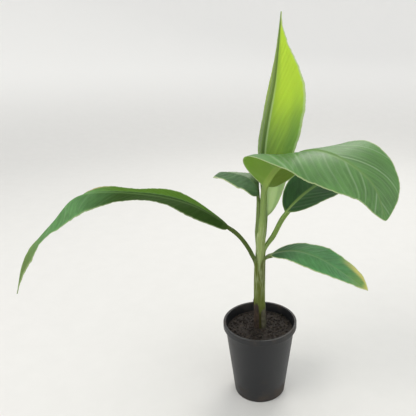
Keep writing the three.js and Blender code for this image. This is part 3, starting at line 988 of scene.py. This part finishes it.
def stem_colour(shader, settings, tone):
    """A tone with lengthwise streaks, darker below and mottled brown where it meets the soil."""
    level = (shader.height() - SOIL_TOP) / STEM_HEIGHT
    streaks = shader.noise(900, 3, 0.6, FIBRES)
    patches = shader.noise(140, 3, 0.6, (1, 1, 0.35))
    pale = shader.smooth(streaks + 0.4 * patches, 0.62, 0.95)
    colour = shader.mix(pale, rgba(tone, 0.92), rgba(blend(tone, settings.pale, 0.6)))
    darker = shader.mix(patches, rgba(settings.old, 0.7), rgba(settings.old, 1.15))
    colour = shader.mix(0.8 * shader.smooth(level, 0.5, 0.3), colour, darker)
    stained = shader.smooth(level + 0.2 * patches, 0.36, 0.24)
    return shader.mix(0.92 * stained, colour, rgba(settings.foot))


def stem_finish(settings):
    """Waxy leaf sheaths."""
    shader = Shader("stem_finish")
    streaks = shader.noise(1100, 2, 0.5, (1, 1, 0.04))
    return shader.finish(
        stem_colour(shader, settings, settings.colour), 0.4 + 0.2 * streaks,
        shader.bump(streaks, 0.18 * MM), Subsurface_Weight=0.1, Subsurface_Scale=1.0,
        Subsurface_Radius=(0.6 * MM, 1 * MM, 0.3 * MM),
    )


def dry_finish(name, own):
    """Papery dead sheath with lengthwise fibres and paler frayed streaks."""
    shader = Shader(name)
    fibres = shader.noise(1000, 3, 0.6, FIBRES)
    patches = shader.noise(170, 3, 0.6)
    colour = shader.mix(shader.smooth(patches, 0.35, 0.7), rgba(own, 0.6), rgba(own, 1.6))
    colour = shader.mix(0.5 * shader.smooth(fibres, 0.55, 0.8), colour, rgba(own, 2.5))
    return shader.finish(colour, 0.65 + 0.2 * fibres, shader.bump(fibres, 0.3 * MM))


# Leaves


FOOT_BELOW = 3 * MM  # how far a sheath runs down into the soil
FOOT_STEP = 1.5 * MM  # distance between the sections below a leaf's foot
MARGIN_PITCH = 260  # of the waves in a margin's line, in radians a metre
FLUTTER_PITCH = 420  # of the waves that lift and lower a margin
NARROW = 12 * MM  # where half a blade is narrower than this, its pleats are lower
HALVES_APART = 31  # keeps the vein numbers of a leaf's two halves apart
SHEATH_PITCH = 120  # of the waves in a sheath's side edges, in radians a metre
SHEATH_UNEVEN = 3  # how far those edges wander, in degrees
SHEATH_OVAL = 0.12 * MM  # how much further out a sheath lies at three places round the stem
SHEATH_LIFT = 0.1 * MM  # how far its edges stand off
LEAF_VALUES = ("along", "across", "rib", "phase", "margin", "upper", "sheath")
PATCHES = {
    # Colours of parts of a leaf, some the leaf's own tints and some painted light and shade, each with
    # its strength and its areas. An area is the product of its values. A value with a start and an end
    # rises smoothly from 0, or from a least share, to 1 between them. Later patches lie over earlier
    # ones.
    "left_leaf": (
        # yellower tip, painted shade on the near half, painted backlit glow on the yellow-green far
        # half, dry stretch of the far margin
        ((0.19, 0.21, 0.06), 0.5, (("along", 0.68, 0.88),)),
        # painted shade: the near half darkened as if turned away from the light
        ((0.021, 0.046, 0.005), 0.92, (("along", 0.6, 0.4), ("across", -0.3, -0.1))),
        # painted light: the far half tinted yellow-green as if lit through from behind
        ((0.06, 0.135, 0.004), 0.9, (("along", 0.6, 0.4), ("across", -0.1, -0.3))),
        (
            (0.4, 0.3, 0.16), 0.9,
            (("across", -0.8, -0.95), ("along", 0.42, 0.5), ("along", 0.68, 0.6)),
        ),
    ),
    "low_leaf": (
        # dark base, pale end, yellow along the left margin, the right margin and the tip
        ((0.018, 0.068, 0.02), 0.9, (("along", 0.4, 0.05),)),
        ((0.3, 0.4, 0.08), 0.4, (("along", 0.72, 0.95),)),
        (
            (0.62, 0.54, 0.16), 0.85,
            (("along", 0.6, 0.85), ("across", 0.45, 0.8)),
            (("along", 0.85, 0.95), ("across", -0.55, -0.85)),
            (("along", 0.92, 0.99),),
        ),
    ),
    "upright_leaf": (
        # painted light through the mint green foot, painted backlit glow on the bright upper part,
        # darker near the rib, painted shade on the underside left of the line, the thin pale line
        # itself, shade on the lower left half, pale margin
        # painted light: the foot made mint green and bright, as if lit through from behind
        ((0.64, 0.8, 0.4), 0.92, (("along", 0.27, 0.1),)),
        # painted light: the upper part made brighter, as if glowing with light from behind
        ((0.6, 0.8, 0.04), 0.7, (("along", 0.35, 0.65),)),
        ((0.1, 0.2, 0.05), 0.3, (("across", 0.25, 0.02),)),
        # painted shade: the underside left of the line darkened, less so towards its margin
        (
            (0.075, 0.13, 0.045), 0.8,
            (("across", 0.02, 0), ("under",), ("across", -0.8, -0.2, 0.5625)),
        ),
        (
            (0.44, 0.54, 0.28), 0.75,
            (("across", 0, 0.02), ("across", 0.07, 0.035), ("along", 0.8, 0.5)),
        ),
        ((0.12, 0.26, 0.07), 0.4, (("across", 0.5, 0.75), ("along", 0.75, 0.45))),
        ((0.5, 0.63, 0.33), 0.7, (("across", 0.9, 0.96),)),
    ),
    "right_leaf": (
        # bright olive underside near the base, browner on the left half, with a paler rib
        ((0.235, 0.395, 0.043), 0.8, (("along", 0.3, 0.08), ("under",))),
        ((0.09, 0.095, 0.001), 0.42, (("along", 0.3, 0.08), ("under",), ("across", 0.02, 0.12))),
        ((0.38, 0.54, 0.08), 1, (("along", 0.3, 0.08), ("under",), ("rib",))),
    ),
    "back_left_leaf": (
        # painted sky light: the far half, which faces the sky, made paler
        ((0.18, 0.28, 0.13), 0.6, (("across", 0, -0.15),)),
    ),
}


def leaf_axis(leaf):
    """A leaf's length, and its frames at even steps along the midrib, as 12 numbers each.

    A frame is a point, the direction forwards, the direction to the left side, and the direction
    that the upper side faces. The last two are carried along without twist, and then turned about
    the midrib by the leaf's roll.
    """
    t = np.linspace(0, 1, AXIS_STEPS + 1)
    raw = along(leaf.midrib, t) + (0, 0, SOIL_TOP)
    run = np.concatenate([[0], np.cumsum(np.linalg.norm(np.diff(raw, axis=0), axis=1))])
    even = t * run[-1]
    point = np.stack([np.interp(even, run, raw[:, k]) for k in range(3)], axis=-1)
    padded = np.concatenate([point[:1], point, point[-1:]])
    forward = padded[2:] - padded[:-2]
    forward /= np.linalg.norm(forward, axis=1, keepdims=True)
    carried = np.empty_like(point)
    face = np.array(leaf.face, float)
    for i in range(AXIS_STEPS + 1):
        face = face - face.dot(forward[i]) * forward[i]
        face /= np.linalg.norm(face)
        carried[i] = face
    across = np.cross(carried, forward)
    turn = np.radians(along(leaf.roll, t))[:, None]
    side = across * np.cos(turn) + carried * np.sin(turn)
    up = carried * np.cos(turn) - across * np.sin(turn)
    return run[-1], np.concatenate([point, forward, side, up], axis=1)


def frames_at(leaf, length, frames, s):
    """Point, forward, side and up at the lengths s, each as an array of rows.

    Below the foot the frame stays as it is there. The upright leaf's points run on down from its
    foot to a place inside the stem.
    """
    even = np.linspace(0, length, AXIS_STEPS + 1)
    rows = np.stack([np.interp(s, even, frames[:, k]) for k in range(12)], axis=-1)
    point, forward, side, up = (rows[:, k:k + 3] for k in (0, 3, 6, 9))
    if leaf.layer == 0:
        inside = frames[0, :3] * (0, 0, 1) - (0, 0, TUCK)
        below = np.clip(-s / TUCK, 0, 1)[:, None]
        point = lerp(point, inside, below)
    return point, forward, side, up


def outline(v, half):
    """Share of the half-width at v along the blade.

    It rises from the base as a power of a parabola, and falls to the tip as a power of
    one minus the square of the way from the widest place to the tip.
    """
    rising = (1 - (1 - np.clip(v / half.widest, 0, 1)) ** 2) ** half.base
    rest = np.clip((v - half.widest) / (1 - half.widest), 0, 1)
    falling = (1 - rest**2) ** half.tip
    return np.where((v > 0) & (v < 1), np.where(v < half.widest, rising, falling), 0.0)


def vein_phase(leaf, half, s, v, distance):
    """Number of the vein at the length s and the distance from the rib: whole on each vein.

    Veins leave the rib at even steps, slant forward with the distance and curve forward with
    its square.
    """
    slant = np.tan(np.radians(along(half.veins, v)))
    shift = slant * distance + VEIN_CURVE * distance**2 / half.width
    return (s - leaf.stalk - shift) / leaf.vein_spacing


def running(steps):
    """Sums of the steps along each row, from 0."""
    return np.pad(np.cumsum(steps, axis=1), ((0, 0), (1, 0)))


def blade_half(leaf, half, sign, s, v, rib, opened, edge, settings):
    """One half of a leaf's sections from the rib's edge to the margin, in their own planes.

    The surface turns up from the rib's edge by the fold, and by the bend as it nears the margin.
    A long wave lifts its margin, and between two veins it bulges by the pleat. The underside lies
    square to it by the edge's thickness, which gets less towards the margin.
    """
    in_blade = np.clip(v, 0, 1)
    q = np.linspace(0, 1, settings.half_steps + 1)
    seed = int(half.width * 1e5) + int(sign > 0)
    uneven = settings.margin_wave * wander(s * MARGIN_PITCH, seed) * smoothstep(v, 0.02, 0.15)
    uneven = uneven * (1 - smoothstep(v, 0.9, 0.99))
    reach = STALK_WING * (1 - 0.6 * in_blade) + half.width * outline(v, half) + uneven * (v > 0)
    fold = lerp(STALK_WING_FOLD, along(half.fold, in_blade), opened)
    bend = along(half.bend, in_blade)
    angle = np.radians(fold + bend * ((q[1:] + q[:-1]) / 2))
    step = reach / settings.half_steps
    across = rib + running(np.cos(angle) * step)
    height = running(np.sin(angle) * step)
    ripple = leaf.wave_height * np.sin(pi * in_blade) * np.sin(2 * pi * leaf.waves * in_blade + sign)
    flutter = 0.5 * settings.margin_wave * wander(s * FLUTTER_PITCH, seed + 5)
    flutter = flutter * smoothstep(v, 0.03, 0.2)
    height = height + ripple * q**2 + flutter * q**4
    tilt = np.radians(fold + bend * q) * smoothstep(q, 0, 0.08)
    near = q * reach
    phase = vein_phase(leaf, half, s, in_blade, near)
    bulge = np.abs(np.sin(pi * phase)) ** 0.8 * (0.75 + 0.25 * np.sin(2.4 * phase))
    fade = smoothstep(q, 0.02, 0.2) * (1 - 0.75 * smoothstep(q, 0.7, 1)) * smoothstep(v, 0, 0.05)
    fade = fade * (1 - smoothstep(v, 0.9, 1))
    lift = settings.pleat * bulge * fade * np.minimum(1, reach / NARROW)
    across = across - np.sin(tilt) * lift
    height = height + np.cos(tilt) * lift
    thin = edge * (1 - 0.6 * q**6)
    return {
        "a": sign * across,
        "top": height,
        "under_a": sign * (across + np.sin(tilt) * thin),
        "under": height - np.cos(tilt) * thin,
        "phase": phase + HALVES_APART * sign,
        "near": near,
        "margin": (1 - q) * reach,
        "q": sign * q + 0 * reach,
    }


def leaf_grids(leaf, settings):
    """The upper and the lower side of a leaf as two grids of points, and the values on them.

    A row is a section of the leaf: the left half from its margin in, the rib, and the right half
    out to its margin. On the upper side the rib is a shallow groove, and on the lower side a
    rounded ridge. Each point is the midrib's, moved by the section's two numbers along the frame's
    side and up, and forward by the sweep of the veins.
    """
    length, frames = leaf_axis(leaf)
    foot = leaf.midrib[0, 2] + FOOT_BELOW if leaf.layer else TUCK
    below = np.linspace(-foot, 0, int(foot / FOOT_STEP), endpoint=False)
    crowded = 1 - np.linspace(1, 0, int(length / settings.section_step)) ** 1.25
    s = np.concatenate([below, length * crowded])[:, None]
    point, forward, side, up = frames_at(leaf, length, frames, s[:, 0])
    v = (s - leaf.stalk) / (length - leaf.stalk)
    in_blade = np.clip(v, 0, 1)
    opened = smoothstep(s - leaf.stalk, -OPENING, 0)
    rib = lerp(leaf.rib[0], leaf.rib[1], smoothstep(s, 0, STALK_FOOT))
    rib = rib * (1 - in_blade) ** 0.8 + LEAST_RIB
    if not leaf.layer:
        rib = rib * lerp(0.55, 1, smoothstep(s, -TUCK, 0))
    edge = lerp(settings.stalk_edge, settings.blade, opened) * (1 - 0.5 * smoothstep(v, 0.9, 1))
    ridge = lerp(settings.blade, leaf.depth, (1 - in_blade) ** 0.7)
    ridge = ridge + rib * 1.1 * (1 - 0.3 * in_blade)
    groove = rib * lerp(0.4, 0.15, opened)
    x = np.linspace(1, -1, settings.rib_steps + 1)[1:-1]
    flat = 0 * rib * x
    middle = {
        "a": x * rib,
        "top": -groove * (1 - x**2),
        "under_a": x * rib,
        "under": -edge - (ridge - edge) * (1 - np.abs(x) ** 2.2) ** 0.6,
        "phase": flat,
        "near": flat,
        "margin": flat + leaf.left.width,
        "q": flat,
    }
    left = blade_half(leaf, leaf.left, 1, s, v, rib, opened, edge, settings)
    right = blade_half(leaf, leaf.right, -1, s, v, rib, opened, edge, settings)
    grid = {
        key: np.concatenate([left[key][:, ::-1], middle[key], right[key]], axis=1) for key in middle
    }
    slant = np.tan(np.radians(along(leaf.sweep, in_blade)))

    def placed(a, b):
        ahead = slant * np.maximum(np.abs(a) - rib, 0)
        return (
            point[:, None] + a[..., None] * side[:, None] + b[..., None] * up[:, None]
            + ahead[..., None] * forward[:, None]
        )

    upper, lower = placed(grid["a"], grid["top"]), placed(grid["under_a"], grid["under"])
    sheath = 0 * s
    if leaf.layer:
        sheath = 1 - smoothstep(s, -3 * MM, min(SHEATH_BLEND, 0.9 * leaf.stalk))
        share = np.sign(grid["a"]) * np.where(
            grid["near"] > 0,
            RIB_SHARE + (1 - RIB_SHARE) * np.abs(grid["q"]),
            RIB_SHARE * np.abs(grid["a"]) / rib,
        )
        height = point[:, 2:] - SOIL_TOP + np.minimum(s, 0)
        inner, outer = sheath_grids(leaf, height, share, settings)
        upper = lerp(upper, inner, sheath[..., None])
        lower = lerp(lower, outer, sheath[..., None])
    values = {
        "along": v + 0 * grid["a"],
        "across": grid["q"],
        "rib": 1 - smoothstep(np.abs(grid["a"]) - rib, -0.2 * MM, 0.9 * MM),
        "phase": grid["phase"],
        "margin": 1 - smoothstep(grid["margin"], 0.5 * MM, 1.6 * MM),
        "sheath": sheath + 0 * grid["a"],
    }
    return upper, lower, values


def sheath_grids(leaf, height, share, settings):
    """The foot of a leaf laid round the stem: an inner and an outer arc at each height.

    The arc faces away from the leaf's upper side, and covers more of the stem the further it is
    below the place where the stalk leaves. The sheath gets thinner towards its edges, which stand
    off a little from what they cover.
    """
    below = np.clip((leaf.midrib[0, 2] - height) / SHEATH_SPREAD_LENGTH, 0, 1)
    uneven = SHEATH_UNEVEN * wander(height * SHEATH_PITCH, int(leaf.layer * 1e5))
    spread = np.radians(along(SHEATH_SPREAD, below) + uneven)
    facing = np.arctan2(-leaf.face[1], -leaf.face[0])
    angle = facing + spread * share
    outer = stem_radius(height) - SHEATH_ROOM + leaf.layer
    outer = outer + SHEATH_OVAL * np.cos(3 * angle) + SHEATH_LIFT * np.abs(share) ** 7
    thickness = settings.sheath * (1 - 0.75 * np.abs(share) ** 8)
    return [
        turned(radius, angle, SOIL_TOP + height, stem_middle(height))
        for radius in (outer - thickness, outer)
    ]


def make_leaf(leaf, plant):
    """One whole leaf as one closed shell, from its sheath round the stem to its tip."""
    upper, lower, values = leaf_grids(leaf, plant.leaves)
    points, faces = shell(upper, lower)
    both = {key: np.concatenate([grid.ravel(), grid.ravel()]) for key, grid in values.items()}
    both["upper"] = np.repeat([1.0, 0.0], upper.shape[0] * upper.shape[1])
    material = leaf_finish(leaf, plant)
    new_piece(leaf.name + "_whole", points, faces, leaf.slot, leaf.nodes, material, both)


def leaf_finish(leaf, plant):
    """A satin blade with pale veins, partly painted highlight on the pleats, a pale rib and margin, a
    duller and paler underside, and its patches, some of them painted light and shade.
    """
    settings = plant.leaves
    own = getattr(settings, leaf.name)
    paler = blend(own, settings.under, 0.5)
    shader = Shader(leaf.name + "_finish")
    place = {name: shader.attribute(name) for name in LEAF_VALUES}
    place["under"] = 1 - place["upper"]
    across = place["across"].math("ABSOLUTE")
    lengthwise = shader.vector(place["phase"] * 0.55, place["across"] * 1.3, place["upper"] * 3)
    blotches = shader.noise(2.2, 3, 0.55, vector=lengthwise)
    mottled = shader.smooth(blotches, 0.3, 0.7)
    cells = shader.noise(1500, 2, 0.5)

    phase = place["phase"] + 0.3 * blotches
    vein = {"W": phase.math("ROUND")}
    chance = shader.add("ShaderNodeTexWhiteNoise", {"noise_dimensions": "1D"}, vein)
    # broad pale stripes: partly the veins' paler colour, partly painted highlight on the pleats
    # between them
    vein_and_highlight_stripes = shader.smooth(phase.math("PINGPONG", 0.5), 0.1 + 0.28 * chance, 0.02)
    vein_and_highlight_stripes = (0.1 + 0.9 * chance.math("POWER", 3.5)) * vein_and_highlight_stripes
    fine = shader.smooth((place["phase"] * 5).math("PINGPONG", 0.5), 0.4, 0.05)
    veins = leaf.vein_show * vein_and_highlight_stripes

    upper = shader.mix(mottled, rgba(own, 0.8), rgba(own, 1.15))
    upper = shader.mix(0.2 * fine, upper, rgba(blend(own, settings.vein, 0.5)))
    fading = veins * (1 - 0.4 * across * across)
    upper = shader.mix(fading, upper, rgba(blend(own, settings.vein, 0.75)))
    under = shader.mix(mottled, rgba(paler, 0.85), rgba(paler, 1.12))
    under = shader.mix(0.5 * veins, under, rgba(blend(paler, settings.vein, 0.7)))
    colour = shader.mix(place["upper"], under, upper)
    colour = painted(shader, colour, place, PATCHES.get(leaf.name, ()))
    colour = shader.mix(leaf.margin_show * place["margin"], colour, rgba(settings.margin))

    tone = plant.stem.old if leaf.layer > OLD_LAYER else plant.stem.colour
    sheath = stem_colour(shader, plant.stem, tone)
    edges = 0.4 * shader.smooth(across, 0.6, 1)
    sheath = shader.mix(edges, sheath, rgba(plant.stem.pale, 0.8))
    dark, light = (rgba(settings.stalk, factor * leaf.stalk_tone) for factor in (0.85, 1.1))
    stalk = shader.mix(place["sheath"], shader.mix(blotches, dark, light), sheath)
    rib = rgba(blend(own, settings.rib, 0.4))
    rib = shader.mix(shader.smooth(place["along"], 0, 0.45), stalk, rib)
    colour = shader.mix(leaf.rib_show * place["rib"], colour, rib)
    colour = shader.mix(shader.smooth(place["along"], 0.04, -0.03), colour, stalk)

    roughness = 0.38 + leaf.dull + 0.1 * blotches + 0.06 * vein_and_highlight_stripes + 0.12 * place["under"]
    relief = 0.35 * cells + 0.3 * (1 - fine) + 0.35 * (1 - veins)
    return shader.finish(
        colour, roughness, shader.bump(relief, 0.14 * MM), Subsurface_Weight=0.25,
        Subsurface_Scale=1.0, Subsurface_Radius=(0.8 * MM, 1.4 * MM, 0.3 * MM),
        Specular_IOR_Level=leaf.gloss,
    )


def blend(own, other, share):
    """A colour part of the way from one to another."""
    return tuple(lerp(a, b, share) for a, b in zip(own, other))


def painted(shader, colour, place, patches):
    """The colour with a leaf's patches laid over it, each at the strongest of its areas."""
    # some patches are tints of the leaf, others painted light and shade, as PATCHES says of each
    for own, strength, *areas in patches:
        masks = []
        for area in areas:
            mask = strength
            for name, *limits in area:
                mask = mask * ramp(shader, place[name], *limits)
            masks.append(mask)
        mask = reduce(lambda one, other: one.math("MAXIMUM", other), masks)
        colour = shader.mix(mask, colour, rgba(own))
    return colour


def ramp(shader, value, start=None, full=None, least=0.0):
    """The value itself, or its smooth rise from the least share at the start to 1 at full."""
    if start is None:
        return value
    rise = shader.smooth(value, start, full)
    return least + (1 - least) * rise if least else rise


# Operators and panel


class PLANT_OT_set_stage(bpy.types.Operator):
    """Lays the floor, hangs the lights and places the camera"""

    bl_idname = "plant.set_stage"
    bl_label = "Set Stage"

    def execute(self, context):
        settings = context.scene.plant.stage
        make_floor(settings)
        make_lights(settings)
        make_camera(settings)
        return {"FINISHED"}


class PLANT_OT_make_pot(bpy.types.Operator):
    """Makes the round black pot with its rim band and drain holes"""

    bl_idname = "plant.make_pot"
    bl_label = "Make Pot"

    def execute(self, context):
        plant = context.scene.plant
        make_pot(plant.pot)
        return {"FINISHED"}


class PLANT_OT_make_soil(bpy.types.Operator):
    """Fills the pot with lumpy soil and scatters crumbs on it"""

    bl_idname = "plant.make_soil"
    bl_label = "Make Soil"

    def execute(self, context):
        plant = context.scene.plant
        make_soil(plant.soil, plant.pot)
        return {"FINISHED"}


class PLANT_OT_make_stem(bpy.types.Operator):
    """Makes the core of the stem and the dry sheaths at its foot"""

    bl_idname = "plant.make_stem"
    bl_label = "Make Stem"

    def execute(self, context):
        make_stem(context.scene.plant.stem)
        return {"FINISHED"}


class PLANT_OT_make_leaf(bpy.types.Operator):
    """Makes one leaf with its sheath, stalk, rib and veined blade"""

    bl_idname = "plant.make_leaf"
    bl_label = "Make Leaf"

    leaf: EnumProperty(
        name="Leaf",
        description="The leaf to make",
        items=[(leaf.name, leaf.name.replace("_", " ").capitalize(), "") for leaf in LEAVES],
    )

    def execute(self, context):
        chosen = next(leaf for leaf in LEAVES if leaf.name == self.leaf)
        make_leaf(chosen, context.scene.plant)
        return {"FINISHED"}


class PLANT_PT_panel(bpy.types.Panel):
    """Sizes and colours of the plant, and a button for each of its pieces"""

    bl_label = "Young Banana Plant"
    bl_idname = "PLANT_PT_panel"
    bl_space_type = "VIEW_3D"
    bl_region_type = "UI"
    bl_category = "Plant"

    def draw(self, context):
        plant = context.scene.plant
        for group in ("stage", "pot", "soil", "stem", "leaves"):
            box = self.layout.box()
            box.label(text=group.capitalize())
            settings = getattr(plant, group)
            for key in settings.__annotations__:
                box.prop(settings, key)
            if group == "leaves":
                box.operator_menu_enum(PLANT_OT_make_leaf.bl_idname, "leaf")
            else:
                box.operator(GROUP_OPERATORS[group])


GROUP_OPERATORS = {
    "stage": PLANT_OT_set_stage.bl_idname,
    "pot": PLANT_OT_make_pot.bl_idname,
    "soil": PLANT_OT_make_soil.bl_idname,
    "stem": PLANT_OT_make_stem.bl_idname,
}
CLASSES = (
    PotSettings,
    SoilSettings,
    StemSettings,
    LeafSettings,
    StageSettings,
    PlantSettings,
    PLANT_OT_set_stage,
    PLANT_OT_make_pot,
    PLANT_OT_make_soil,
    PLANT_OT_make_stem,
    PLANT_OT_make_leaf,
    PLANT_PT_panel,
)


def register():
    for cls in CLASSES:
        bpy.utils.register_class(cls)
    bpy.types.Scene.plant = PointerProperty(type=PlantSettings)


def unregister():
    del bpy.types.Scene.plant
    for cls in reversed(CLASSES):
        bpy.utils.unregister_class(cls)


def main():
    """Registers the classes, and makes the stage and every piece."""
    register()
    bpy.ops.plant.set_stage()
    bpy.ops.plant.make_pot()
    bpy.ops.plant.make_soil()
    bpy.ops.plant.make_stem()
    for leaf in LEAVES:
        bpy.ops.plant.make_leaf(leaf=leaf.name)


if __name__ == "__main__":
    main()
